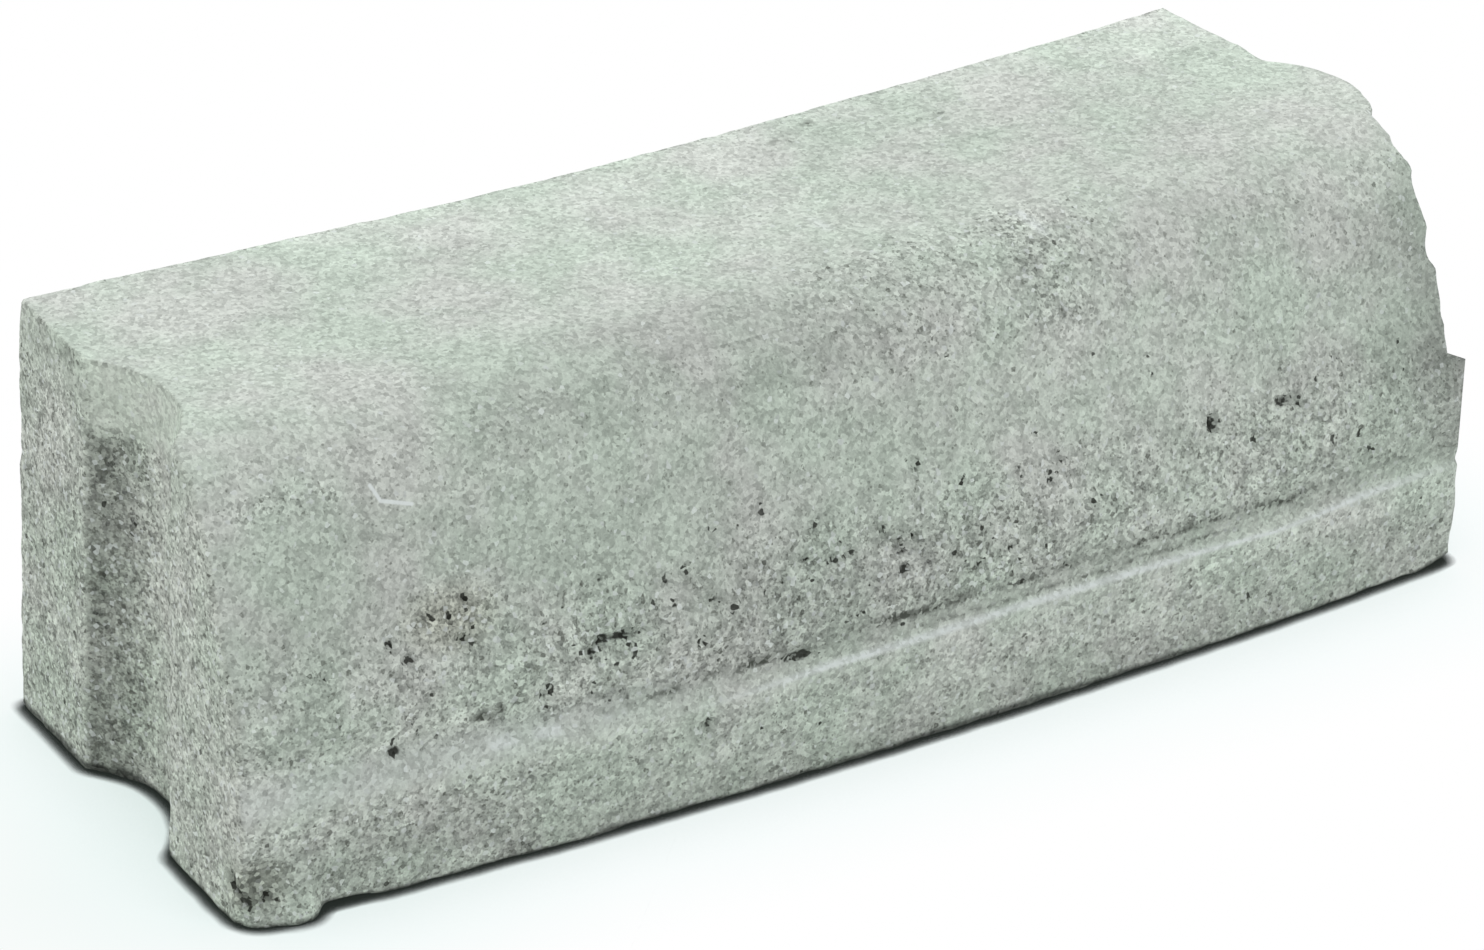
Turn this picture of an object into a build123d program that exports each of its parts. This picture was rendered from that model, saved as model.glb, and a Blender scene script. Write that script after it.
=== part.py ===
from build123d import *

# Curved concrete kerb stone, cast in one piece. It stands on its flat base: +Z is up, +X runs along its length
# and the road face looks towards -Y. The origin is on the base, in the middle of its depth and of its turn.
# Lengths are in millimetres.
import math
import os

# Plan: the stone is a slice of a ring whose centre lies behind it
front_radius = 5000.0       # plan radius of the plinth's front face
front_length = 780.0        # length of that face along the curve, end face to end face

# Section
height = 240.0              # base to top
base_depth = 260.0          # back face to the plinth's front face
plinth_height = 60.5        # base to the front edge of the ledge
ledge_width = 3.5           # how far the plinth stands in front of the road face
ledge_rise = 3.0            # how much the ledge climbs towards the road face
ledge_edge_radius = 2.5     # rounding of the ledge's front edge
ledge_root_radius = 3.0     # rounding where the ledge meets the road face
road_face_batter = 20.5     # lean of the road face from upright, in degrees
foot_radius = 90.0          # swell that turns the leaning road face upright above the ledge
foot_height = 82.0          # height at which the road face has become upright
nose_radius = 65.0          # rounding between the road face and the top
back_arris_radius = 3.0     # rounding between the back and the top
base_arris_radius = 4.0     # rounding of the base's long edges
end_arris_radius = 2.5      # rounding round the outline of each end face

# Joint between neighbouring stones: a round tongue enters a round groove, over the full height
joint_centre_depth = 128.0  # back face to the middle of the tongue and of the groove
groove_width = 102.0
groove_depth = 23.0
tongue_width = 84.0
tongue_length = 19.0

# Derived places
back_radius = front_radius - base_depth
half_turn = math.degrees(front_length / front_radius) / 2
ring_centre = (0.0, front_radius - base_depth / 2)
ring_axis = Axis((*ring_centre, 0.0), (0, 0, 1))


def section_point(depth, level):
    """A point of the section from its distance in front of the back face and its height."""
    return (base_depth / 2 - depth, level)


def section():
    """The stone's outline across its length, on the plane through the ring's axis."""
    lean = math.radians(road_face_batter)
    road_face_depth = base_depth - ledge_width
    foot_start = (road_face_depth, foot_height)
    foot_end = (
        road_face_depth - foot_radius * (1 - math.cos(lean)),
        foot_height + foot_radius * math.sin(lean),
    )
    nose_foot_level = height - nose_radius * (1 - math.sin(lean))
    nose_foot_depth = foot_end[0] - (nose_foot_level - foot_end[1]) * math.tan(lean)
    nose_top_depth = nose_foot_depth - nose_radius * math.cos(lean)
    with BuildSketch(Plane.YZ) as outline:
        with BuildLine():
            Line(section_point(0, 0), section_point(0, height))
            Line(section_point(0, height), section_point(nose_top_depth, height))
            TangentArc(
                section_point(nose_top_depth, height),
                section_point(nose_foot_depth, nose_foot_level),
                tangent=(-1, 0),
            )
            Line(section_point(nose_foot_depth, nose_foot_level), section_point(*foot_end))
            TangentArc(
                section_point(*foot_end),
                section_point(*foot_start),
                tangent=(-math.sin(lean), -math.cos(lean)),
            )
            Polyline(
                section_point(*foot_start),
                section_point(road_face_depth, plinth_height + ledge_rise),
                section_point(base_depth, plinth_height),
                section_point(base_depth, 0),
                section_point(0, 0),
            )
        make_face()
        rounded_corners = [
            (section_point(0, height), back_arris_radius),
            (section_point(road_face_depth, plinth_height + ledge_rise), ledge_root_radius),
            (section_point(base_depth, plinth_height), ledge_edge_radius),
            (section_point(base_depth, 0), base_arris_radius),
            (section_point(0, 0), base_arris_radius),
        ]
        for corner, radius in rounded_corners:
            fillet(outline.vertices().sort_by_distance(corner)[0], radius)
    return outline.sketch


def ring_slice(start_turn, end_turn):
    """The section swept round the ring, between two turns from the middle of the stone, in degrees."""
    start = section().rotate(ring_axis, start_turn)
    return revolve(start, axis=ring_axis, revolution_arc=end_turn - start_turn)


def joint_cylinder(side, width, rise, reach):
    """An upright cylinder through the joint's two edges on an end face.

    side is 1 at the tongue's end and -1 at the groove's. The cylinder's surface crosses the end face along
    two lines that lie width apart, and stands rise beyond it, outwards where reach is 1 and inwards at -1.
    """
    radius = ((width / 2) ** 2 + rise**2) / (2 * rise)
    turn = math.radians(side * half_turn)
    joint_radius = back_radius + joint_centre_depth
    outward = (side * math.cos(turn), side * math.sin(turn))
    set_back = reach * (rise - radius)
    centre = (
        ring_centre[0] + joint_radius * math.sin(turn) + set_back * outward[0],
        ring_centre[1] - joint_radius * math.cos(turn) + set_back * outward[1],
        height / 2,
    )
    return Pos(*centre) * Cylinder(radius, 2 * height)


def round_ends(body):
    """The curved body with the outlines of both end faces rounded."""
    flat_faces = body.faces().filter_by(GeomType.PLANE)
    ends = [face for face in flat_faces if abs(face.normal_at().Z) < 0.5]
    return fillet([edge for face in ends for edge in face.outer_wire().edges()], end_arris_radius)


def kerb_stone():
    """The whole casting: the curved body, its tongue and its groove."""
    body = round_ends(ring_slice(-half_turn, half_turn))
    tongue_turn = math.degrees(2 * tongue_length / back_radius)
    tongue_stock = ring_slice(half_turn - tongue_turn, half_turn + tongue_turn)
    tongue = tongue_stock & joint_cylinder(1, tongue_width, tongue_length, 1)
    groove = joint_cylinder(-1, groove_width, groove_depth, -1)
    return body + tongue - groove


os.makedirs("parts", exist_ok=True)
export_step(kerb_stone(), "parts/kerb_stone.step")
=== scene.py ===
import itertools
import math
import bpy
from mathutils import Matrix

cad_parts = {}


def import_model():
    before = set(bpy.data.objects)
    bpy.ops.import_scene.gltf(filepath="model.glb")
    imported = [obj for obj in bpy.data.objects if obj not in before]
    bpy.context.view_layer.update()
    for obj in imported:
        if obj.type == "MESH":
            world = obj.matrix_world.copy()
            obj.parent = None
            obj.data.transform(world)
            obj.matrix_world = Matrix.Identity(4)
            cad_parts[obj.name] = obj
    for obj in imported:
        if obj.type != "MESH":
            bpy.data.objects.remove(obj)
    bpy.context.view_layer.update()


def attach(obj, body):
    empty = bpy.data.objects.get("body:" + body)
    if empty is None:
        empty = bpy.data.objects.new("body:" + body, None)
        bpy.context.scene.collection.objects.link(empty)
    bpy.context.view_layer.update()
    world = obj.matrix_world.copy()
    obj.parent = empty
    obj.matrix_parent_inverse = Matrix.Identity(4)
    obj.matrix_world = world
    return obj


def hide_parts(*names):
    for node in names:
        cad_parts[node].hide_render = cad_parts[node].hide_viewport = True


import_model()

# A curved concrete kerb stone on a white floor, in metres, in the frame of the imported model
from types import SimpleNamespace

import bpy
import numpy as np
from mathutils import Matrix

# Plan: the stone is a slice of a ring whose centre lies behind it
FRONT_RADIUS = 5.0
FRONT_LENGTH = 0.78
BASE_DEPTH = 0.26
HALF_TURN = FRONT_LENGTH / FRONT_RADIUS / 2
RING_CENTRE_Y = FRONT_RADIUS - BASE_DEPTH / 2
BACK_RADIUS = FRONT_RADIUS - BASE_DEPTH

# Section, from the back face forwards and from the base up
HEIGHT = 0.24
PLINTH_HEIGHT = 0.0605
LEDGE_WIDTH = 0.0035
LEDGE_RISE = 0.003
LEDGE_EDGE_RUN = 0.00115        # how far from the ledge's front edge its rounding begins
LEDGE_ROOT_RUN = 0.0014         # the same where the ledge meets the road face
ROAD_FACE_LEAN = math.radians(20.5)
FOOT_RADIUS = 0.09
FOOT_HEIGHT = 0.082
NOSE_RADIUS = 0.065
NOSE_SPLIT_DEPTH = 0.195        # where the mesh's top patch ends and its front patch begins

# Joint at the ends
JOINT_DEPTH = 0.128
GROOVE_WIDTH = 0.102
GROOVE_DEPTH = 0.023
TONGUE_WIDTH = 0.084
TONGUE_LENGTH = 0.019
JOINT_FADE = 0.15               # length over which the mesh takes up the groove and the tongue

# Mesh: cells along the stone and in each stretch of its section
CELLS_ALONG = 336
PLINTH_CELLS = 21
LEDGE_CELLS = 20
FACE_CELLS = 66
LEDGE_MARGIN = 0.007            # height of the fine cells under and over the ledge
BACK_STRIP_CELLS = 20
BACK_STRIP_GATHER = 1.3         # how strongly the columns gather at the groove's edge
JOINT_EDGE_CELLS = 4
JOINT_EDGE_GATHER = 1.6
JOINT_CELLS = 28
FRONT_STRIP_CELLS = 22

SEED = 11

# Section points that follow from the sizes
FACE_DEPTH = BASE_DEPTH - LEDGE_WIDTH
FOOT_END_DEPTH = FACE_DEPTH - FOOT_RADIUS * (1 - math.cos(ROAD_FACE_LEAN))
FOOT_END_HEIGHT = FOOT_HEIGHT + FOOT_RADIUS * math.sin(ROAD_FACE_LEAN)
NOSE_END_HEIGHT = HEIGHT - NOSE_RADIUS * (1 - math.sin(ROAD_FACE_LEAN))
NOSE_END_DEPTH = FOOT_END_DEPTH - (NOSE_END_HEIGHT - FOOT_END_HEIGHT) * math.tan(ROAD_FACE_LEAN)
NOSE_TOP_DEPTH = NOSE_END_DEPTH - NOSE_RADIUS * math.cos(ROAD_FACE_LEAN)


# Noise and soft shapes

def lattice_value(cell, seed):
    """A repeatable random number from -1 to 1 for each cell of a whole-numbered lattice."""
    mixed = cell[:, 0] * 73856093 ^ cell[:, 1] * 19349663 ^ cell[:, 2] * 83492791 ^ seed * 26544357
    mixed = (mixed ^ (mixed >> 13)) * 1274126177
    mixed = (mixed ^ (mixed >> 16)) & 0xFFFF
    return mixed / 32767.5 - 1


def smooth_noise(points, size, seed):
    """Noise from -1 to 1 whose bumps are about size metres across."""
    place = points / size + seed * 0.37
    cell = np.floor(place).astype(np.int64)
    part = place - cell
    blend = part * part * (3 - 2 * part)
    total = np.zeros(len(points))
    for corner in itertools.product((0, 1), repeat=3):
        weight = np.prod(np.where(corner, blend, 1 - blend), axis=1)
        total += weight * lattice_value(cell + np.array(corner), SEED + seed)
    return total


def layered_noise(points, size, seed, layers=3):
    """Smooth noise with finer layers on top, each half as large and half as strong."""
    total = np.zeros(len(points))
    for layer in range(layers):
        total += smooth_noise(points, size / 2**layer, seed + 7 * layer) / 2**layer
    return total


def ramp(value, start, end):
    """0 at start, 1 at end, smooth between."""
    part = np.clip((value - start) / (end - start), 0, 1)
    return part * part * (3 - 2 * part)


def between(value, start, full, fade, end):
    """0 up to start, 1 from full to fade, 0 again from end on."""
    return ramp(value, start, full) * (1 - ramp(value, fade, end))


def spot(along, height, at, level, half_width, half_height):
    """1 in the middle of an oval on the front, 0 at its rim and beyond."""
    reach = ((along - at) / half_width) ** 2 + ((height - level) / half_height) ** 2
    return np.clip(1 - reach, 0, 1)


def stroke(along, height, path, half_width):
    """1 on a path of along and height, 0 at half its width and beyond."""
    nearest = np.full(len(along), 1.0)
    for (a0, h0), (a1, h1) in zip(path, path[1:]):
        run = np.array([a1 - a0, h1 - h0])
        share = ((along - a0) * run[0] + (height - h0) * run[1]) / (run @ run)
        share = np.clip(share, 0, 1)
        nearest = np.minimum(nearest, np.hypot(along - a0 - share * run[0], height - h0 - share * run[1]))
    return np.clip(1 - (nearest / half_width) ** 2, 0, 1)


# Section of the stone

def top_height(depth):
    """Height of the top and of the nose's upper part at a depth from the back."""
    past = np.clip(depth - NOSE_TOP_DEPTH, 0, NOSE_RADIUS)
    return HEIGHT - NOSE_RADIUS + np.sqrt(NOSE_RADIUS**2 - past**2)


def arc(centre, radius, start, end, count=40):
    """Points of an arc as depth and height, angles up from straight ahead."""
    angle = np.linspace(start, end, count)
    return np.column_stack([centre[0] + radius * np.cos(angle), centre[1] + radius * np.sin(angle)])


def bend(before, corner, after, run, count=9):
    """Points of a rounding that leaves the two lines of a corner run away from it."""
    before, corner, after = (np.array(point) for point in (before, corner, after))
    start = corner + run * (before - corner) / np.linalg.norm(before - corner)
    end = corner + run * (after - corner) / np.linalg.norm(after - corner)
    part = np.linspace(0, 1, count)[:, None]
    return start * (1 - part) ** 2 + corner * 2 * part * (1 - part) + end * part**2


def ledge_outline():
    """The ledge with a little of the plinth under it and of the road face over it."""
    low = (BASE_DEPTH, PLINTH_HEIGHT - LEDGE_MARGIN)
    edge = (BASE_DEPTH, PLINTH_HEIGHT)
    root = (FACE_DEPTH, PLINTH_HEIGHT + LEDGE_RISE)
    high = (FACE_DEPTH, PLINTH_HEIGHT + LEDGE_RISE + LEDGE_MARGIN)
    edge_bend = bend(low, edge, root, LEDGE_EDGE_RUN)
    root_bend = bend(edge, root, high, LEDGE_ROOT_RUN)
    return np.concatenate([[low], edge_bend, root_bend, [high]])


def face_outline():
    """The road face from just above the ledge to where the top patch begins."""
    foot = arc((FACE_DEPTH - FOOT_RADIUS, FOOT_HEIGHT), FOOT_RADIUS, 0, ROAD_FACE_LEAN)
    nose_centre = (NOSE_TOP_DEPTH, HEIGHT - NOSE_RADIUS)
    split_angle = math.acos((NOSE_SPLIT_DEPTH - NOSE_TOP_DEPTH) / NOSE_RADIUS)
    nose = arc(nose_centre, NOSE_RADIUS, ROAD_FACE_LEAN, split_angle)
    return np.concatenate([ledge_outline()[-1:], foot, nose])


def spread(outline, cells):
    """Evenly spaced points along an outline."""
    outline = np.array(outline)
    run = np.r_[0, np.cumsum(np.hypot(*np.diff(outline, axis=0).T))]
    at = np.linspace(0, run[-1], cells + 1)
    return np.column_stack([np.interp(at, run, outline[:, 0]), np.interp(at, run, outline[:, 1])])


def front_outline():
    """The section's front from the base to where the top patch begins, one point a row of the mesh."""
    plinth = spread([(BASE_DEPTH, 0), ledge_outline()[0]], PLINTH_CELLS)
    ledge = spread(ledge_outline(), LEDGE_CELLS)
    face = spread(face_outline(), FACE_CELLS)
    return np.concatenate([plinth[:-1], ledge[:-1], face])


def top_outline(count=120):
    """The section's top from where the front ends to the back."""
    depth = np.linspace(NOSE_SPLIT_DEPTH, 0, count)
    return np.column_stack([depth, top_height(depth)])


def thickening(start, end, cells, power):
    """Points from start to end that lie closer and closer together."""
    return end + (start - end) * np.linspace(1, 0, cells + 1) ** power


def section_grid():
    """Depth and height of each column and row of the section's mesh."""
    front = front_outline()
    rise = np.linspace(0, 1, len(front))
    groove_back, groove_front = JOINT_DEPTH - GROOVE_WIDTH / 2, JOINT_DEPTH + GROOVE_WIDTH / 2
    tongue_back, tongue_front = JOINT_DEPTH - TONGUE_WIDTH / 2, JOINT_DEPTH + TONGUE_WIDTH / 2
    columns = np.concatenate([
        thickening(0, groove_back, BACK_STRIP_CELLS, BACK_STRIP_GATHER)[:-1],
        thickening(tongue_back, groove_back, JOINT_EDGE_CELLS, JOINT_EDGE_GATHER)[:0:-1],
        np.linspace(tongue_back, tongue_front, JOINT_CELLS + 1)[:-1],
        thickening(tongue_front, groove_front, JOINT_EDGE_CELLS, JOINT_EDGE_GATHER),
    ])
    depth = np.repeat(columns[:, None], len(front), axis=1)
    height = top_height(columns)[:, None] * rise
    strip = np.linspace(0, 1, FRONT_STRIP_CELLS + 1)[1:, None]
    strip_depth = depth[-1] * (1 - strip) + front[:, 0] * strip
    strip_height = height[-1] * (1 - strip) + front[:, 1] * strip
    strip_height[:, -1] = top_height(strip_depth[:, -1])
    return np.concatenate([depth, strip_depth]), np.concatenate([height, strip_height])


def joint_curve(depth, width, reach, softness=0.0009):
    """How far the groove's or tongue's round face lies from the end face, its edges a little rounded by
    wear.
    """
    radius = ((width / 2) ** 2 + reach**2) / (2 * reach)
    off = np.minimum(np.abs(depth - JOINT_DEPTH), radius)
    lift = np.sqrt(radius**2 - off**2) - radius + reach
    overshoot = np.sqrt(reach**2 + softness**2) - reach
    return 0.5 * (lift + np.sqrt(lift**2 + softness**2) - overshoot)


# Mesh of the plain stone

class Lattice:
    """The outside of a box of cells: columns from the back, rows from the base, steps along the stone."""

    def __init__(self):
        self.depth_grid, self.height_grid = section_grid()
        columns, rows = (count - 1 for count in self.depth_grid.shape)
        steps = CELLS_ALONG
        self.columns, self.rows = columns, rows
        # The back and the base are plain, so their cells are twice as large
        sides = [
            (lambda a, b: (columns, a, b), rows, steps, 1),
            (lambda a, b: (b, rows, a), steps, columns, 1),
            (lambda a, b: (b, a, 0), rows, columns, 1),
            (lambda a, b: (a, b, steps), columns, rows, 1),
            (lambda a, b: (0, b, a), steps, rows, 2),
            (lambda a, b: (a, 0, b), columns, steps, 2),
        ]
        cells = [cell for side in sides for cell in self.side_cells(*side)]
        used = sorted({point for cell in cells for point in cell})
        number = {point: n for n, point in enumerate(used)}
        self.points = np.array(used)
        self.polygons = [[number[point] for point in cell] for cell in cells]

    @staticmethod
    def side_cells(corner, width, length, stride):
        """Cells of one side, facing outwards, with every point of its rim, to join its neighbours."""
        cells = []
        for a, b in itertools.product(range(0, width, stride), range(0, length, stride)):
            a_end, b_end = min(a + stride, width), min(b + stride, length)
            near_b = range(a + 1, a_end) if b == 0 else ()
            far_a = range(b + 1, b_end) if a_end == width else ()
            far_b = range(a_end - 1, a, -1) if b_end == length else ()
            near_a = range(b_end - 1, b, -1) if a == 0 else ()
            ring = [(a, b), *((n, b) for n in near_b), (a_end, b), *((a_end, n) for n in far_a)]
            ring += [(a_end, b_end), *((n, b_end) for n in far_b), (a, b_end), *((a, n) for n in near_a)]
            ring = [corner(*point) for point in reversed(ring)]
            # A cell with points between its corners becomes a fan of triangles round one of them
            corners = {corner(a, b), corner(a_end, b), corner(a_end, b_end), corner(a, b_end)}
            extra = [n for n, point in enumerate(ring) if point not in corners]
            if extra:
                fan = ring[extra[0]:] + ring[:extra[0]]
                cells += [[fan[0], *pair] for pair in zip(fan[1:], fan[2:])]
            else:
                cells.append(ring)
        return cells


def world(turn, depth, height, shift):
    """Places in the frame, from turn, depth from the back, height and a shift along the stone."""
    radius = BACK_RADIUS + depth
    x = radius * np.sin(turn) + shift * np.cos(turn)
    y = RING_CENTRE_Y - radius * np.cos(turn) + shift * np.sin(turn)
    return np.column_stack([x, y, height])


def point_normals(points, polygons):
    """Outward directions at the points, from the polygons round each."""
    normals = np.zeros_like(points)
    corners = np.array([[p[0], p[len(p) // 4], p[len(p) // 2], p[3 * len(p) // 4]] for p in polygons])
    across = points[corners[:, 2]] - points[corners[:, 0]]
    along = points[corners[:, 3]] - points[corners[:, 1]]
    facing = np.cross(across, along)
    for n in range(4):
        np.add.at(normals, corners[:, n], facing)
    return normals / np.linalg.norm(normals, axis=1, keepdims=True)


# Where the casting differs from its plain section; along is measured on the front from the groove's end
LEDGE_SLOPE_AT_GROOVE = 0.021   # extra rise of the ledge at the groove's end, where it is a soft slope
LEDGE_SLOPE_LENGTH = 0.36       # distance over which that slope settles to a crisp ledge
LEDGE_FADE_HEIGHT = 0.135       # height at which the road face no longer feels the slope
FIN_TOP = 0.1225                # top of the fin of mortar at the tongue's end
FIN_FOOT = (0.058, 0.072)       # heights over which the fin comes up from the ledge
FIN_WIDTH = (0.004, 0.009)      # distances from the end over which the fin sinks into the face
FIN_LIP = 0.0035                # how far the fin's top is drawn up
FIN_LIP_HEIGHT = 0.012          # height of the part that is drawn up
FIN_DEPTH = BASE_DEPTH - 0.001  # where its face lies

# Rounding of the arrises, and what their wear adds in places or takes off
WEAR_RANGE = (0.35, 2.2)
GROOVE_ARRIS = 0.0028
GROOVE_ARRIS_TOP_LOSS = 0.0015
GROOVE_ARRIS_FOOT_GAIN = 0.004
GROOVE_BACK_ARRIS = 0.0018
TONGUE_ARRIS = 0.0012
TONGUE_ARRIS_TOP_GAIN = 0.0018
TONGUE_BACK_ARRIS = 0.003
TOP_BACK_ARRIS = 0.0012
BASE_ARRIS = 0.003
LUMP_FOOT_GAIN = 0.006
TONGUE_FOOT_GAIN = 0.003

# How coarse the casting is: 0 is smooth cement, 1 bare sand, and more is broken
BAND_LEVELS = (0.066, 0.084, 0.112, 0.165)  # heights: the coarse band begins, is full, fades, ends
BAND_AT_GROOVE = 0.85
BAND_GAIN = 0.15                # what it gains away from the groove's end
BAND_LOSS = 0.30                # what it loses towards the tongue's end
COARSE_FRONT = 0.18
COARSE_HIDDEN = 0.45            # the back, the base and the tongue's end
COARSE_PLINTH = 0.5
COARSE_PLINTH_AT_GROOVE = 0.8
COARSE_GROOVE = 1.3
COARSE_END = 0.85
COARSE_END_BACK = 1.0
COARSE_NOSE = 0.45
COARSE_NOSE_PATCH = 1.0
# Coarse spots of the front: along, height, half width, half height, how coarse
COARSE_SPOTS = [
    (0.645, 0.118, 0.040, 0.024, 1.0),
    (0.045, 0.211, 0.050, 0.009, 0.8),
    (0.128, 0.140, 0.036, 0.022, 1.5),
    (0.012, 0.018, 0.040, 0.030, 1.0),
]

# Depth of the hollows that casting leaves, from the widest to the finest
SWELL_DEPTH = 0.0007
WAVE_DEPTH = 0.0004
GRAIN_DEPTH = 0.0001
COARSE_GRAIN_DEPTH = 0.0005
TONGUE_END_DEPTH = 0.0011

# The broken corner at the foot of the groove's end; the lump's values are along and reach
LUMP = [(0, -0.004), (0.006, 0.001), (0.014, 0.005), (0.028, 0.009), (0.037, 0.0095), (0.046, 0)]
LUMP_HEIGHT = 0.032
LUMP_DEPTH = 0.03               # how far back from the front it is felt
DENT = (0.008, 0.024, 0.024, 0.017)  # along, height, half width, half height
DENT_DEPTH = 0.0022
DENT_REACH = 0.02               # how far back from the front it is felt

# Chips off the outer arris of the ends: height, size, depth
TONGUE_END_CHIPS = [
    (0.228, 0.010, 0.0015),
    (0.207, 0.016, 0.0030),
    (0.193, 0.007, 0.0012),
    (0.180, 0.011, 0.0034),
    (0.161, 0.006, 0.0004),
    (0.145, 0.006, 0.0006),
    (0.133, 0.006, 0.0005),
]
GROOVE_END_CHIPS = [
    (0.226, 0.010, 0.0012),
    (0.172, 0.008, 0.0010),
    (0.131, 0.009, 0.0014),
    (0.088, 0.008, 0.0012),
    (0.052, 0.009, 0.0012),
]

# Pits that stand out on the road face and the plinth: along, height, half width, half height, depth
PITS = [
    (0.217, 0.104, 0.014, 0.0065, 0.0016),
    (0.117, 0.143, 0.0035, 0.0030, 0.0026),
    (0.138, 0.147, 0.0030, 0.0045, 0.0030),
    (0.134, 0.129, 0.0045, 0.0030, 0.0034),
    (0.128, 0.139, 0.0030, 0.0050, 0.0024),
    (0.139, 0.132, 0.0025, 0.0045, 0.0024),
    (0.088, 0.079, 0.0050, 0.0042, 0.0040),
    (0.092, 0.134, 0.0030, 0.0036, 0.0030),
    (0.101, 0.125, 0.0055, 0.0034, 0.0028),
    (0.176, 0.090, 0.0036, 0.0050, 0.0030),
    (0.330, 0.071, 0.0110, 0.0040, 0.0030),
    (0.338, 0.122, 0.0045, 0.0030, 0.0028),
    (0.356, 0.118, 0.0045, 0.0028, 0.0024),
    (0.367, 0.119, 0.0055, 0.0028, 0.0024),
    (0.389, 0.125, 0.0025, 0.0045, 0.0028),
    (0.398, 0.112, 0.0045, 0.0030, 0.0030),
    (0.399, 0.103, 0.0050, 0.0038, 0.0034),
    (0.407, 0.118, 0.0030, 0.0030, 0.0028),
    (0.415, 0.152, 0.0065, 0.0060, 0.0021),
    (0.446, 0.095, 0.0030, 0.0040, 0.0030),
    (0.468, 0.097, 0.0035, 0.0035, 0.0026),
    (0.479, 0.135, 0.0025, 0.0040, 0.0026),
    (0.498, 0.125, 0.0028, 0.0028, 0.0032),
    (0.504, 0.076, 0.0040, 0.0030, 0.0026),
    (0.609, 0.128, 0.0036, 0.0062, 0.0044),
    (0.636, 0.113, 0.0050, 0.0055, 0.0024),
    (0.660, 0.128, 0.0070, 0.0034, 0.0038),
    (0.709, 0.097, 0.0040, 0.0030, 0.0024),
    (0.274, 0.048, 0.0035, 0.0050, 0.0028),
    (0.381, 0.057, 0.0030, 0.0025, 0.0024),
    (0.480, 0.026, 0.0035, 0.0028, 0.0020),
    (0.015, 0.016, 0.0045, 0.0028, 0.0034),
]
SMALL_PITS = 130
SMALL_PIT_SIZE = (0.0022, 0.0038)
SMALL_PIT_ALONG = (0.01, FRONT_LENGTH - 0.01)
SMALL_PIT_HEIGHT = (0.012, 0.2)
# Painted shade of the pits, the scar and the cracked corner: a pit's shade grows with its depth
DARK_PIT_DEPTH = 0.0030         # depth at which a pit looks dark
DARKEST_PIT = 1.35
SCAR_HALF_WIDTH = 0.0027
SCAR_DEPTH = 0.0042
SCAR_DARKNESS = 1.4
CRACK_HALF_WIDTH = 0.0034
CRACK_DEPTH = 0.0022
CRACK_DARKNESS = 1.1

# Lighter and darker areas of the front, partly painted light and shade and partly the cement's own tone:
# along from and to, height from and to, change of tone
FRONT_TONES = [
    (0.00, 0.79, 0.000, 0.050, -0.065),
    (0.28, 0.42, 0.026, 0.046, 0.07),
    (0.02, 0.16, 0.013, 0.036, -0.14),
    (0.15, 0.62, 0.000, 0.012, -0.12),
    (0.43, 0.62, 0.028, 0.050, 0.10),
    (0.15, 0.60, 0.053, 0.060, 0.08),
    (0.59, 0.77, 0.045, 0.060, 0.16),
    (0.03, 0.30, 0.066, 0.083, -0.11),
    (0.06, 0.21, 0.083, 0.115, 0.07),
    (0.21, 0.31, 0.083, 0.130, -0.03),
    (0.30, 0.40, 0.066, 0.083, -0.16),
    (0.40, 0.79, 0.066, 0.083, -0.11),
    (0.68, 0.79, 0.080, 0.100, -0.07),
    (0.03, 0.31, 0.095, 0.195, -0.07),
    (0.31, 0.45, 0.083, 0.130, -0.10),
    (0.31, 0.45, 0.130, 0.190, -0.03),
    (0.43, 0.72, 0.083, 0.150, 0.01),
    (0.46, 0.70, 0.150, 0.200, 0.04),
    (0.66, 0.79, 0.112, 0.146, -0.06),
    (0.16, 0.46, 0.205, 0.240, -0.08),
    (0.30, 0.42, 0.205, 0.240, -0.03),
    (0.31, 0.35, 0.226, 0.245, -0.10),
    (-0.03, 0.05, 0.088, 0.172, -0.07),
    (0.08, 0.15, 0.112, 0.140, 0.05),
    (0.735, 0.80, 0.100, 0.212, -0.13),
    (0.762, 0.80, 0.068, 0.125, -0.12),
]
AREA_SOFT_ALONG = 0.025
AREA_SOFT_HEIGHT = 0.004
# The same on the top, with the depth from the back in place of the height
TOP_TONES = [
    (0.14, 0.46, -0.02, 0.045, 0.10),
    (0.45, 0.60, -0.02, 0.018, 0.07),
    (0.60, 0.79, -0.02, 0.045, 0.09),
    (0.28, 0.46, 0.040, 0.135, 0.05),
    (0.03, 0.085, -0.02, 0.145, 0.06),
    (0.25, 0.36, 0.170, 0.200, -0.08),
    (0.16, 0.46, 0.158, 0.195, -0.07),
]
TOP_SOFT_ALONG = 0.03
TOP_SOFT_DEPTH = 0.008
# Change of tone of the larger parts: painted shade in the groove's recess and on the ends, and lighter and
# darker patches elsewhere
GROOVE_SHADE = -0.44
GROOVE_TOP_LIGHT = 0.12
BAND_SHADE = -0.06
END_SHADE = -0.03
END_BACK_SHADE = -0.05
NOSE_PATCH_SHADE = -0.13
NOSE_PATCH = (0.518, 0.224, 0.026, 0.024)  # along, height, half width, half height
BROWN_PATCH = (0.128, 0.140, 0.034, 0.020)
TONGUE_EDGE_SHADE = -0.11
TONGUE_TOP_LIGHT = 0.10
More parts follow.
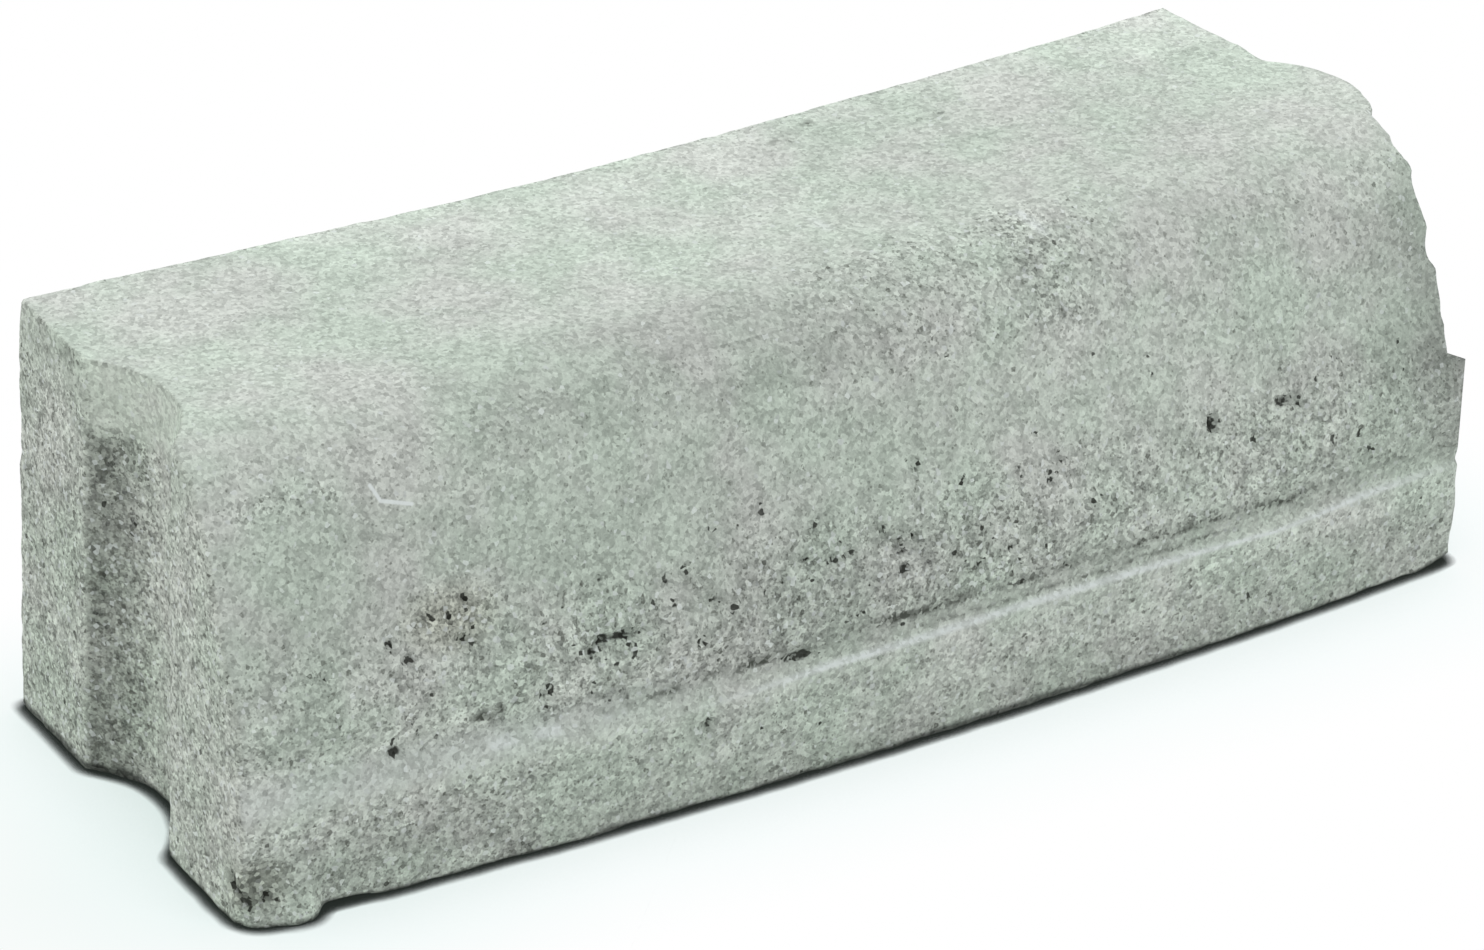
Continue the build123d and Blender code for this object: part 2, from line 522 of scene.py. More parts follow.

# Lines along the front: along, height. The ledge's line is a painted highlight on its edge, the line over
# the ledge is a painted shadow, and the ledge's root is painted shade
LEDGE_LINE = [
    (0.24, 0.0580), (0.29, 0.0598), (0.35, 0.0616), (0.41, 0.0616), (0.47, 0.0623), (0.53, 0.0617),
    (0.59, 0.0608), (0.65, 0.0582), (0.71, 0.0614), (0.78, 0.0614),
]
LEDGE_SHADOW_LINE = [
    (0.22, 0.0715), (0.29, 0.0742), (0.35, 0.0756), (0.41, 0.0767), (0.53, 0.0772), (0.60, 0.0767),
    (0.65, 0.0738), (0.70, 0.0762), (0.78, 0.0775),
]
LEDGE_ROOT = [(0, 0.0671), (FRONT_LENGTH, 0.0671)]
LEDGE_LINE_HALF_WIDTH = 0.0015
LEDGE_SHADOW_HALF_WIDTH = 0.0022
LEDGE_ROOT_HALF_WIDTH = 0.0014
LEDGE_FLECKS = [(0.128, 0.0705), (0.165, 0.0690), (0.190, 0.0680), (0.222, 0.0672)]
LEDGE_GRIT = [(0.135, 0.0880), (0.168, 0.0865), (0.190, 0.0800), (0.222, 0.0755)]
SCAR = [
    (0.2025, 0.1028), (0.2085, 0.1100), (0.2135, 0.1115), (0.2210, 0.1103), (0.2280, 0.1091),
    (0.2365, 0.1105),
]
SCRATCH = [(0.0955, 0.2097), (0.0995, 0.2020), (0.1165, 0.1972)]
SCRATCH_HALF_WIDTH = 0.0014
# Top of the painted shadow line at the base: along, height
FOOT_SHADOW_TOP = [
    (0.03, 0.0008), (0.05, 0.0024), (0.08, 0.0018), (0.10, 0.0006), (0.15, 0.0008), (0.25, 0.0014),
    (0.40, 0.0028), (0.50, 0.0036), (0.57, 0.0022), (0.64, 0.0004), (0.75, 0.0002), (0.762, 0.0030),
    (0.78, 0.0048),
]
# Pale streaks and dark specks on the top: along, depth from the back
TOP_STREAKS = [[(0.431, 0.114), (0.431, 0.126)], [(0.5315, 0.164), (0.535, 0.182)]]
TOP_SPECKS = [(0.470, 0.0254), (0.4795, 0.0264), (0.500, 0.0144), (0.5595, 0.042), (0.5725, 0.0434)]
# Crack round the broken corner: along, or on the end face minus the way back, and height
CORNER_CRACK = [(-0.010, 0.029), (-0.008, 0.022), (0.002, 0.018), (0.006, 0.0126)]


def surface_place(along, depth, height):
    """A point of the stone in the frame."""
    return world(np.array([along / FRONT_RADIUS - HALF_TURN]), np.array([depth]), np.array([height]), 0)[0]


def scratch_lines():
    """The scratch on the front as straight lines in the frame."""
    outline = front_outline()
    corners = []
    for along, height in SCRATCH:
        depth = np.interp(height, outline[:, 1], outline[:, 0])
        corners.append(surface_place(along, depth, height))
    return list(zip(corners, corners[1:]))


def coarse_band(along, height):
    """How rough the road face is: most above the ledge, and less higher up and in the tongue's half."""
    share = BAND_AT_GROOVE + BAND_GAIN * ramp(along, 0.08, 0.20) - BAND_LOSS * ramp(along, 0.44, 0.58)
    return share * between(height, *BAND_LEVELS)


def soft_stretch(value, start, end, soft):
    """1 from start to end, with both ends softened."""
    return between(value, start - soft, start + soft, end - soft, end + soft)


def area_tones(along, across, areas, soft_along, soft_across):
    """The tone that soft-edged areas add at each point."""
    total = np.zeros(len(along))
    for start, end, low, high, change in areas:
        share = soft_stretch(along, start, end, soft_along) * soft_stretch(across, low, high, soft_across)
        total += change * share
    return total


def find_outer_face(s):
    """How far each point lies under the front and the top, and the way out of them."""
    outline = np.concatenate([front_outline(), top_outline()[1:]])
    heading = np.gradient(outline, axis=0)
    heading /= np.linalg.norm(heading, axis=1, keepdims=True)
    apart = np.linalg.norm(np.column_stack([s.depth, s.height])[:, None] - outline[None, ::2], axis=2)
    nearest = 2 * apart.argmin(axis=1)
    s.below_outer = np.where(s.on_front | s.on_top, 0, apart.min(axis=1))
    s.outer_way = heading[nearest, 1][:, None] * s.ahead_way - heading[nearest, 0][:, None] * s.up_way


def slope_ledge(s):
    """Makes the ledge a soft slope near the groove's end."""
    slope = LEDGE_SLOPE_AT_GROOVE * (1 - ramp(s.along, 0, LEDGE_SLOPE_LENGTH))
    feel = np.interp(s.height, [PLINTH_HEIGHT, PLINTH_HEIGHT + LEDGE_RISE, LEDGE_FADE_HEIGHT], [0, 1, 0])
    s.height = s.height + slope * feel * s.front_share


def shape_ends(s):
    """Places the points with the groove and the tongue, and finds how far they lie under each end."""
    left = s.along * (BACK_RADIUS + s.depth) / FRONT_RADIUS
    s.right = (FRONT_LENGTH - s.along) * (BACK_RADIUS + s.depth) / FRONT_RADIUS
    s.groove = joint_curve(s.depth, GROOVE_WIDTH, GROOVE_DEPTH)
    tongue = joint_curve(s.depth, TONGUE_WIDTH, TONGUE_LENGTH)
    groove_share = np.clip(1 - left / JOINT_FADE, 0, 1)
    tongue_share = np.clip(1 - s.right / JOINT_FADE, 0, 1)
    shift = s.groove * groove_share + tongue * tongue_share
    s.below_groove_end = left + shift - s.groove
    s.below_tongue_end = s.right - shift + tongue
    s.points = world(s.turn, s.depth, s.height, shift)
    pace = 1e-4
    groove_slope = (joint_curve(s.depth + pace, GROOVE_WIDTH, GROOVE_DEPTH) - s.groove) / pace
    tongue_slope = (joint_curve(s.depth + pace, TONGUE_WIDTH, TONGUE_LENGTH) - tongue) / pace
    s.groove_way = groove_slope[:, None] * s.ahead_way - s.along_way
    s.groove_way /= np.linalg.norm(s.groove_way, axis=1, keepdims=True)
    s.tongue_way = s.along_way - tongue_slope[:, None] * s.ahead_way
    s.tongue_way /= np.linalg.norm(s.tongue_way, axis=1, keepdims=True)


def plain_stone():
    """The stone's mesh before wear, and where each of its points lies."""
    lattice = Lattice()
    column, row, step = lattice.points.T
    s = SimpleNamespace(polygons=lattice.polygons)
    s.depth = lattice.depth_grid[column, row]
    s.height = lattice.height_grid[column, row]
    s.turn = HALF_TURN * (2 * step / CELLS_ALONG - 1)
    s.along = (s.turn + HALF_TURN) * FRONT_RADIUS
    s.on_front, s.on_back = column == lattice.columns, column == 0
    s.on_top, s.on_base = row == lattice.rows, row == 0
    s.on_groove_end, s.on_tongue_end = step == 0, step == CELLS_ALONG
    s.front_share = np.clip((column - lattice.columns + FRONT_STRIP_CELLS) / FRONT_STRIP_CELLS, 0, 1)
    flat = np.zeros_like(s.turn)
    s.along_way = np.column_stack([np.cos(s.turn), np.sin(s.turn), flat])
    s.ahead_way = np.column_stack([np.sin(s.turn), -np.cos(s.turn), flat])
    s.up_way = np.array([0.0, 0.0, 1.0])
    find_outer_face(s)
    slope_ledge(s)
    shape_ends(s)
    return s


def rounded(points, below_a, normal_a, below_b, normal_b, radius):
    """Pulls points near the arris of two faces onto an arc; below is how far they lie under each face."""
    off = np.maximum(below_a, below_b)
    near = off < radius
    angle = math.pi / 4 * np.clip(1 - off / radius, 0, 1)
    slide = ((radius * (1 - np.sin(angle)) - off) * near)[:, None]
    sink = (radius * (1 - np.cos(angle)) * near)[:, None]
    on_a = (below_a <= below_b)[:, None]
    return points - np.where(on_a, sink * normal_a + slide * normal_b, slide * normal_a + sink * normal_b)


def wear_arrises(s):
    """Rounds every arris, more in some places than in others."""
    wear = 1 + 0.55 * layered_noise(s.points, 0.045, 1) + 0.35 * smooth_noise(s.points, 0.011, 2)
    wear = np.clip(wear, *WEAR_RANGE)
    groove_outer = GROOVE_ARRIS - GROOVE_ARRIS_TOP_LOSS * ramp(s.height, 0.19, 0.22)
    groove_outer += GROOVE_ARRIS_FOOT_GAIN * (1 - ramp(s.height, 0.004, 0.03))
    tongue_outer = TONGUE_ARRIS + TONGUE_ARRIS_TOP_GAIN * ramp(s.height, 0.165, 0.195)
    foot = BASE_ARRIS + LUMP_FOOT_GAIN * between(s.along, 0.042, 0.05, 0.06, 0.085)
    foot += TONGUE_FOOT_GAIN * ramp(s.along, 0.755, 0.775)
    back_way = -s.ahead_way
    down_way = -s.up_way
    arrises = [
        (s.below_groove_end, s.groove_way, s.below_outer, s.outer_way, groove_outer),
        (s.below_groove_end, s.groove_way, s.depth, back_way, GROOVE_BACK_ARRIS),
        (s.below_groove_end, s.groove_way, s.height, down_way, BASE_ARRIS),
        (s.below_tongue_end, s.tongue_way, s.below_outer, s.outer_way, tongue_outer),
        (s.below_tongue_end, s.tongue_way, s.depth, back_way, TONGUE_BACK_ARRIS),
        (s.below_tongue_end, s.tongue_way, s.height, down_way, BASE_ARRIS),
        (s.below_outer, s.outer_way, s.depth, back_way, TOP_BACK_ARRIS),
        (s.below_outer, s.outer_way, s.height, down_way, foot),
        (s.depth, back_way, s.height, down_way, BASE_ARRIS),
    ]
    for below_a, way_a, below_b, way_b, radius in arrises:
        s.points = rounded(s.points, below_a, way_a, below_b, way_b, radius * wear)


def chip_end(s, turn, toward_end, chips):
    """Knocks chips off the outer arris of one end."""
    outline = front_outline()
    for height, size, depth in chips:
        at = np.interp(height, outline[:, 1], outline[:, 0])
        middle = world(np.array([turn]), np.array([at]), np.array([height]), 0)[0]
        share = np.clip(1 - (np.linalg.norm(s.points - middle, axis=1) / size) ** 2, 0, 1)
        s.points = s.points - (depth * share)[:, None] * (0.4 * s.outer_way + toward_end)


def measure_coarseness(s):
    """Finds how coarse each place is."""
    s.in_groove = s.on_groove_end * ramp(s.groove, 0.0006, 0.0020)
    ragged_height = s.height + 0.004 * layered_noise(s.points, 0.03, 9)
    s.groove_top = s.in_groove * ramp(ragged_height, 0.196, 0.208)
    s.groove_low = s.in_groove - s.groove_top
    end_strips = s.on_groove_end * (1 - s.in_groove) * (1 - 0.5 * ramp(s.height, 0.205, 0.225))
    s.nose = (s.on_front | s.on_top) * between(s.depth, 0.145, 0.17, 0.215, 0.225)
    plinth = s.on_front * (1 - ramp(s.height, 0.05, 0.062))
    patchy = 0.5 + 0.5 * layered_noise(s.points, 0.06, 3)
    s.coarse = coarse_band(s.along, s.height) * s.on_front * np.clip(0.6 + 0.7 * patchy, 0, 1.3)
    parts = [
        (s.groove_low * (1 - 0.45 * ramp(s.depth, 0.10, 0.13)), COARSE_GROOVE),
        (end_strips, COARSE_END),
        (end_strips * (s.depth < JOINT_DEPTH), COARSE_END_BACK),
        (s.nose * between(s.along, 0.34, 0.42, 0.54, 0.60), COARSE_NOSE),
        (s.nose * between(s.along, 0.495, 0.515, 0.53, 0.55), COARSE_NOSE_PATCH),
        (plinth, COARSE_PLINTH),
        (plinth * (1 - ramp(s.along, 0.16, 0.26)), COARSE_PLINTH_AT_GROOVE),
        (s.on_back | s.on_tongue_end | s.on_base, COARSE_HIDDEN),
        (s.on_front, COARSE_FRONT),
    ]
    for *oval, level in COARSE_SPOTS:
        parts.append((s.on_front * spot(s.along, s.height, *oval), level))
    for part, level in parts:
        s.coarse = np.maximum(s.coarse, level * part)


def lay_relief(s):
    """Gives the faces their swells and hollows."""
    hollows = SWELL_DEPTH * smooth_noise(s.points, 0.11, 4) + WAVE_DEPTH * layered_noise(s.points, 0.03, 5)
    hollows += (GRAIN_DEPTH + COARSE_GRAIN_DEPTH * s.coarse) * layered_noise(s.points, 0.008, 6, layers=2)
    hollows += TONGUE_END_DEPTH * s.on_tongue_end * layered_noise(s.points, 0.02, 8)
    s.points = s.points - hollows[:, None] * point_normals(s.points, s.polygons)


def random_pits(count):
    """Small pits, thickest where the road face is coarse."""
    random = np.random.default_rng(SEED)
    pits = []
    while len(pits) < count:
        where = random.uniform(*SMALL_PIT_ALONG), random.uniform(*SMALL_PIT_HEIGHT)
        size = random.uniform(*SMALL_PIT_SIZE)
        if random.uniform() < 0.06 + 0.9 * coarse_band(*where):
            pits.append((*where, size * random.uniform(0.9, 1.4), size, size * random.uniform(0.3, 0.6)))
    return pits


def sink_pits(s):
    """Sinks the pits and the scar into the front and a cracked line into the broken corner, and paints
    shade into each, the pits the darker the deeper they are.
    """
    s.hollow = np.zeros(len(s.points))
    sunk = np.zeros(len(s.points))
    front = np.flatnonzero(s.on_front)
    along, height = s.along[front], s.height[front]
    for at, level, half_width, half_height, depth in PITS + random_pits(SMALL_PITS):
        share = spot(along, height, at, level, half_width, half_height)
        darkness = np.clip(depth / DARK_PIT_DEPTH, 0, DARKEST_PIT)
        sunk[front] = np.maximum(sunk[front], depth * share**0.7)
        s.hollow[front] = np.maximum(s.hollow[front], darkness * share**0.5)
    scar = stroke(along, height, SCAR, SCAR_HALF_WIDTH) * (1 - 0.6 * ramp(along, 0.222, 0.237))
    scar *= np.clip(0.75 + 0.7 * smooth_noise(s.points[front], 0.005, 31), 0, 1)
    sunk[front] = np.maximum(sunk[front], SCAR_DEPTH * scar**0.7)
    s.hollow[front] = np.maximum(s.hollow[front], SCAR_DARKNESS * scar**0.5)
    round_corner = np.where(s.on_groove_end, s.depth - BASE_DEPTH, s.along)
    shaded_line = stroke(round_corner, s.height, CORNER_CRACK, CRACK_HALF_WIDTH) * (s.on_front | s.on_groove_end)
    sunk = np.maximum(sunk, CRACK_DEPTH * shaded_line)
    s.hollow = np.maximum(s.hollow, CRACK_DARKNESS * shaded_line**0.5)
    s.points = s.points - sunk[:, None] * point_normals(s.points, s.polygons)


def break_corner(s):
    """The lump of mortar at the foot of the groove's end and the dent over it."""
    reach = np.interp(s.along, *zip(*LUMP)) * (1 + 0.35 * smooth_noise(s.points, 0.009, 33))
    foot = (1 - ramp(s.height, -0.004, LUMP_HEIGHT)) * ramp(s.depth, BASE_DEPTH - LUMP_DEPTH, BASE_DEPTH)
    s.points = s.points + (reach * foot)[:, None] * s.ahead_way
    s.dent = spot(s.along, s.height, *DENT) * ramp(s.depth, BASE_DEPTH - DENT_REACH, BASE_DEPTH)
    s.points = s.points - (DENT_DEPTH * s.dent)[:, None] * s.ahead_way


def leave_fin(s):
    """The fin of mortar that the mould left beside the tongue's end."""
    share = (1 - ramp(s.right, *FIN_WIDTH)) * ramp(s.height, *FIN_FOOT) * (s.height < FIN_TOP) * s.on_front
    lip = FIN_LIP * ramp(s.height, FIN_TOP - FIN_LIP_HEIGHT, FIN_TOP)
    fin = world(s.turn, np.full_like(s.depth, FIN_DEPTH), s.height + lip, np.zeros_like(s.depth))
    s.points = s.points + share[:, None] * (fin - s.points)


# What the material reads at each point

def front_line(s, path, half_width, wander=0):
    """1 on a line along the front, fading to both sides."""
    off = s.height - np.interp(s.along, *zip(*path)) + wander
    return np.exp(-((off / half_width) ** 2)) * s.on_front


def pale_places(s):
    """Painted highlight on the ledge's edge and on its soft slope, and pale flecks and streaks."""
    edge = front_line(s, LEDGE_LINE, LEDGE_LINE_HALF_WIDTH) * between(s.along, 0.24, 0.36, 0.70, 0.80)
    soft_slope = s.on_front * (1 - ramp(s.along, 0.12, 0.34))
    soft_slope *= between(s.height, 0.056, 0.066, 0.072, 0.088)
    broken = np.clip(0.3 + 1.4 * smooth_noise(s.points, 0.006, 23), 0, 1)
    flecks = 0.85 * stroke(s.along, s.height, LEDGE_FLECKS, 0.0030) * s.on_front * broken
    for streak in TOP_STREAKS:
        flecks += 0.75 * stroke(s.along, s.depth, streak, 0.0045) * s.on_top * (0.4 + 0.6 * broken)
    return np.clip(1.05 * edge + 0.30 * soft_slope + flecks, 0, 1.6)


def grime_and_shade_places(s):
    """The dent, the painted shadow line over the ledge, painted shade in the ledge's root, the groove's
    upper rim, and grit and specks.
    """
    wander = 0.0012 * smooth_noise(s.points, 0.02, 21)
    shaded_line = front_line(s, LEDGE_SHADOW_LINE, LEDGE_SHADOW_HALF_WIDTH, wander)
    shaded_line *= between(s.along, 0.20, 0.26, 0.68, 0.78)
    shaded_line *= np.clip(0.7 + 1.1 * layered_noise(s.points, 0.014, 22), 0.1, 1.4)
    root = front_line(s, LEDGE_ROOT, LEDGE_ROOT_HALF_WIDTH) * between(s.along, 0.40, 0.44, 0.58, 0.66)
    groove_rim = s.in_groove * (1 - ramp(s.below_outer, 0.001, 0.004)) * ramp(s.height, 0.22, 0.232)
    loose = np.clip(1.5 * smooth_noise(s.points, 0.005, 24), 0, 1)
    grit = stroke(s.along, s.height, LEDGE_GRIT, 0.005) * s.on_front * loose
    for at, depth in TOP_SPECKS:
        grit += 0.5 * spot(s.along, s.depth, at, depth, 0.006, 0.0035) * s.on_top
    return np.clip(0.5 * s.dent + 0.80 * shaded_line + 0.42 * root + 0.22 * groove_rim + grit, 0, 1)


def tones(s):
    """How light the cement is, with painted shade in the groove and on the ends and painted light and shade
    in areas of the front; 1 is its plain colour.
    """
    along, height = s.along, s.height
    tone = 1 + GROOVE_SHADE * s.groove_low * (1 - ramp(s.depth, 0.080, 0.122))
    tone += GROOVE_TOP_LIGHT * s.groove_top + BAND_SHADE * coarse_band(along, height) * s.on_front
    tone += s.on_groove_end * (END_SHADE + END_BACK_SHADE * (1 - ramp(s.depth, 0.072, 0.080)))
    tone += NOSE_PATCH_SHADE * s.nose * spot(along, height, *NOSE_PATCH)
    tone += TONGUE_EDGE_SHADE * ramp(along, 0.752, 0.772) * between(height, 0.10, 0.13, 0.212, 0.230)
    tone += TONGUE_TOP_LIGHT * ramp(along, 0.66, 0.77) * ramp(height, 0.20, 0.235)
    tone += s.on_front * area_tones(along, height, FRONT_TONES, AREA_SOFT_ALONG, AREA_SOFT_HEIGHT)
    tone += s.on_top * area_tones(along, s.depth, TOP_TONES, TOP_SOFT_ALONG, TOP_SOFT_DEPTH)
    return tone


def brown_places(s):
    """The pitted patch of the road face, the dent, and a little of the groove's end."""
    patch = spot(s.along, s.height, *BROWN_PATCH) * s.on_front
    return patch + 0.6 * s.dent + 0.25 * s.on_groove_end


def foot_shadow_heights(s):
    """Height of the painted shadow line at the base."""
    on_end = 0.0016 + 0.0022 * (1 - ramp(s.depth, 0.17, 0.20))
    return np.where(s.on_groove_end, on_end, np.interp(s.along, *zip(*FOOT_SHADOW_TOP)))


def surface_measures(s):
    return {
        "coarse": s.coarse,
        "hollow": s.hollow,
        "pale": pale_places(s),
        "grime_and_shade": grime_and_shade_places(s),
        "tone": tones(s),
        "brown": brown_places(s),
        "foot_shadow_height": foot_shadow_heights(s),
    }


def build_stone():
    s = plain_stone()
    wear_arrises(s)
    chip_end(s, HALF_TURN, s.tongue_way, TONGUE_END_CHIPS)
    chip_end(s, -HALF_TURN, s.groove_way, GROOVE_END_CHIPS)
    measure_coarseness(s)
    lay_relief(s)
    sink_pits(s)
    break_corner(s)
    leave_fin(s)
    s.points[:, 2] = np.maximum(s.points[:, 2], 0)
    mesh = bpy.data.meshes.new("kerb_stone_cast")
    mesh.from_pydata(s.points.tolist(), [], s.polygons)
    for name, values in surface_measures(s).items():
        layer = mesh.attributes.new(name, "FLOAT", "POINT")
        layer.data.foreach_set("value", values.astype(np.float32))
    mesh.polygons.foreach_set("use_smooth", np.ones(len(mesh.polygons), dtype=bool))
    mesh.validate()
    mesh.update()
    stone = bpy.data.objects.new("kerb_stone_cast", mesh)
    bpy.context.scene.collection.objects.link(stone)
    stone.data.materials.append(concrete())
    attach(stone, "root")
    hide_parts("kerb_stone")


# Materials

class Nodes:
    """A material's node tree, with short calls for the nodes that it needs."""

    def __init__(self, name):
        self.material = bpy.data.materials.new(name)
        self.material.use_nodes = True
        self.tree = self.material.node_tree
        self.tree.nodes.clear()
        self.output = self.tree.nodes.new("ShaderNodeOutputMaterial")

    def add(self, kind, inputs=None, **settings):
        node = self.tree.nodes.new(kind)
        for key, value in settings.items():
            setattr(node, key, value)
        for key, value in (inputs or {}).items():
            if isinstance(value, bpy.types.NodeSocket):
                self.tree.links.new(value, node.inputs[key])
            else:
                node.inputs[key].default_value = value
        return node

    def noise(self, place, scale, detail=3.0, roughness=0.55):
        inputs = {"Vector": place, "Scale": scale, "Detail": detail, "Roughness": roughness}
        return self.add("ShaderNodeTexNoise", inputs).outputs["Fac"]

    def grains(self, place, scale):
        """Two independent random numbers from 0 to 1 for each grain."""
        colour = self.add("ShaderNodeTexVoronoi", {"Vector": place, "Scale": scale}).outputs["Color"]
        split = self.add("ShaderNodeSeparateColor", {"Color": colour})
        return split.outputs[0], split.outputs[1]

    def math(self, operation, a, b=0.0, c=0.0):
        return self.add("ShaderNodeMath", {0: a, 1: b, 2: c}, operation=operation).outputs[0]

    def scaled(self, value, low, high, out_low=0.0, out_high=1.0):
        inputs = {"Value": value, "From Min": low, "From Max": high, "To Min": out_low, "To Max": out_high}
        return self.add("ShaderNodeMapRange", inputs).outputs["Result"]

    def vector(self, operation, a, b=(0.0, 0.0, 0.0), scale=1.0):
        node = self.add("ShaderNodeVectorMath", {0: a, 1: b, 3: scale}, operation=operation)
        return node.outputs["Value" if operation in ("DOT_PRODUCT", "DISTANCE") else "Vector"]

    def from_line(self, place, start, end):
        """How far a place is from the straight line between two points."""
        run = np.subtract(end, start)
        offset = self.vector("SUBTRACT", place, start)
        share = self.scaled(self.vector("DOT_PRODUCT", offset, run), 0.0, run @ run)
        return self.vector("DISTANCE", offset, self.vector("SCALE", run, scale=share))

    def mix(self, share, a, b, blend_type="MIX"):
        inputs = {"Factor": share, 6: a, 7: b}
        return self.add("ShaderNodeMix", inputs, data_type="RGBA", blend_type=blend_type).outputs[2]

    def ramp(self, value, stops):
        node = self.add("ShaderNodeValToRGB", {"Fac": value})
        elements = node.color_ramp.elements
        while len(elements) < len(stops):
            elements.new(0.5)
        for element, (at, colour) in zip(elements, stops):
            element.position = at
            element.color = (*colour, 1)
        return node.outputs["Color"]

    def measure(self, name):
        return self.add("ShaderNodeAttribute", attribute_name=name).outputs["Fac"]


CEMENT_GREEN = (0.535, 0.613, 0.537, 1)
CEMENT_PINK = (0.570, 0.603, 0.562, 1)
PORE_COLOUR = (0.110, 0.120, 0.100, 1)
# Colour of the painted shade in the pits, and of dark specks
PIT_SHADE_COLOUR = (0.022, 0.024, 0.019, 1)
# Pale cement, also used for the ledge's painted highlight
PALE_COLOUR = (0.84, 0.90, 0.895, 1)
STAIN_COLOUR = (0.38, 0.395, 0.29, 1)
# Colour of soiling and of the painted shade over the ledge and at its root
GRIME_AND_SHADE_COLOUR = (0.09, 0.10, 0.085, 1)
# Colour of the painted shadow at the base
FOOT_SHADOW_COLOUR = (0.020, 0.023, 0.020, 1)

# Texture scales, per metre
CLOUD_SCALE = 16.0
FOOT_WOBBLE_SCALE = 26.0
BLOTCH_SCALE = 42.0
MOTTLE_SCALE = 95.0
GRAVEL_SCALE = 250.0
GRIT_SCALE = 420.0
SAND_SCALE = 430.0
FINE_SAND_SCALE = 860.0
# Contrast of grains, share of pores, and relief: for each step of coarseness, and everywhere
SAND_CONTRAST = (0.32, 0.40)
FINE_SAND_CONTRAST = (0.14, 0.20)
GRAVEL_CONTRAST = (0.28, 0.0)
MOTTLE_CONTRAST = (0.34, 0.06)
PORE_SHARE = (0.080, 0.012)
FINE_PORE_SHARE = (0.10, 0.02)
GRIT_HEIGHT = (1.6, 0.9)
PALE_GRAIN_SHARE = 0.05
FOOT_SHADOW_BLUR = 0.0030


def concrete_sockets(n):
    """The place on the stone, how coarse it is, and its grains: a tone and a chance for each."""
    c = SimpleNamespace(place=n.add("ShaderNodeTexCoord").outputs["Object"], coarse=n.measure("coarse"))
    c.sand, c.chance = n.grains(c.place, SAND_SCALE)
    c.fine_sand, c.fine_chance = n.grains(c.place, FINE_SAND_SCALE)
    c.gravel, _ = n.grains(c.place, GRAVEL_SCALE)
    c.by_coarseness = lambda steps: n.math("MULTIPLY_ADD", c.coarse, *steps)
    return c


def cement_colour(n, c):
    """Greenish grey with pinkish clouds, and grains that differ in tone, most where it is coarse."""
    clouds = n.scaled(n.noise(c.place, CLOUD_SCALE, 3.0), 0.38, 0.64)
    cement = n.mix(clouds, CEMENT_GREEN, CEMENT_PINK)
    cement = n.mix(n.math("MULTIPLY", n.measure("brown"), 0.4), cement, STAIN_COLOUR)
    tone = n.scaled(n.noise(c.place, BLOTCH_SCALE, 2.0), 0.3, 0.7, 0.93, 1.07)
    mottle = n.scaled(n.noise(c.place, MOTTLE_SCALE, 2.0), 0.3, 0.7)
    for grain, contrast in [
        (c.sand, SAND_CONTRAST),
        (c.gravel, GRAVEL_CONTRAST),
        (mottle, MOTTLE_CONTRAST),
        (c.fine_sand, FINE_SAND_CONTRAST),
    ]:
        tone = n.math("MULTIPLY_ADD", n.math("SUBTRACT", grain, 0.5), c.by_coarseness(contrast), tone)
    # The tone measure brings in painted light and shade as well as the cement's own tone
    tone = n.math("MULTIPLY", tone, n.measure("tone"))
    tone_colour = n.add("ShaderNodeCombineColor", {0: tone, 1: tone, 2: tone}).outputs[0]
    return n.mix(1.0, cement, tone_colour, "MULTIPLY")


def add_pores(n, c, colour):
    """Dark pores and pale grains, most where the casting is coarse."""
    pores = n.scaled(n.math("SUBTRACT", c.by_coarseness(PORE_SHARE), c.chance), 0.0, 0.03)
    darkness = n.scaled(c.fine_sand, 0.0, 1.0, 0.75, 0.25)
    colour = n.mix(n.math("MULTIPLY", pores, darkness), colour, PORE_COLOUR)
    fine_pores = n.scaled(n.math("SUBTRACT", c.by_coarseness(FINE_PORE_SHARE), c.fine_chance), 0.0, 0.03)
    colour = n.mix(n.math("MULTIPLY", fine_pores, 0.5), colour, PORE_COLOUR)
    pale_chance = n.math("MULTIPLY_ADD", c.coarse, PALE_GRAIN_SHARE, c.chance)
    return n.mix(n.scaled(pale_chance, 0.98, 1.0, 0.0, 0.45), colour, PALE_COLOUR)


def add_marks_highlight_and_shade(n, c, colour):
    """Painted highlight with pale flecks and streaks, the scratch, and darker places that are partly
    soiling and partly painted shade.
    """
    highlight_and_pale = n.math("MULTIPLY", n.measure("pale"), n.scaled(c.sand, 0.0, 1.0, 0.45, 0.95))
    colour = n.mix(highlight_and_pale, colour, PALE_COLOUR)
    off_scratch = n.math("MINIMUM", *(n.from_line(c.place, *line) for line in scratch_lines()))
    scratched = n.scaled(off_scratch, SCRATCH_HALF_WIDTH, 0.45 * SCRATCH_HALF_WIDTH, 0.0, 0.85)
    colour = n.mix(scratched, colour, PALE_COLOUR)
    dirt_and_shade = n.math("MULTIPLY", n.measure("grime_and_shade"), n.scaled(c.sand, 0.0, 1.0, 1.7, 0.3))
    return n.mix(dirt_and_shade, colour, GRIME_AND_SHADE_COLOUR)


def add_pits(n, c, colour):
    """Dark specks, more of them over the pits, and the painted shade of the pits, the scar and the cracked
    corner, with a ragged rim.
    """
    hollow = n.measure("hollow")
    speck_share = n.math("MULTIPLY_ADD", hollow, 0.22, n.math("MULTIPLY", c.coarse, 0.005))
    specks = n.scaled(n.math("SUBTRACT", speck_share, c.chance), 0.0, 0.006, 0.0, 0.85)
    colour = n.mix(specks, colour, PIT_SHADE_COLOUR)
    ragged = n.math("SUBTRACT", c.sand, 0.5)
    pit = n.scaled(n.math("MULTIPLY_ADD", ragged, 0.8, hollow), 0.68, 1.00, 0.0, 0.94)
    return n.mix(pit, colour, PIT_SHADE_COLOUR)


